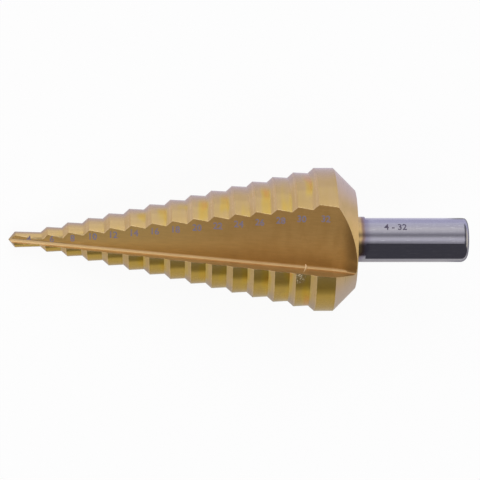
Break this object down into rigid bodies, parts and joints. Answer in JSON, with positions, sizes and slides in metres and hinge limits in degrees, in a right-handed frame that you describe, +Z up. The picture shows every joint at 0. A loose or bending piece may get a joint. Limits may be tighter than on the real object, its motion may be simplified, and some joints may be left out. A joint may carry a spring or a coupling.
{
  "type": "step drill",
  "caption": "Stepped cone drill with straight flutes that cuts a wider hole at each step, on a round shank with flats for a chuck.",
  "frame": {"origin": "centre of the bounding box's underside, on the surface that the drill lies on", "axes": "+X from the point to the shank along that surface, +Y across the drill, +Z up, away from the surface"},
  "size_m": [0.1, 0.0314, 0.0281],
  "materials": {
    "coated_steel": "ground steel, gold-coloured coating on the cone, bare ground steel on the shank"
  },
  "bodies": {
    "root": {"step_drill": "coated_steel"}
  },
  "joints": []
}
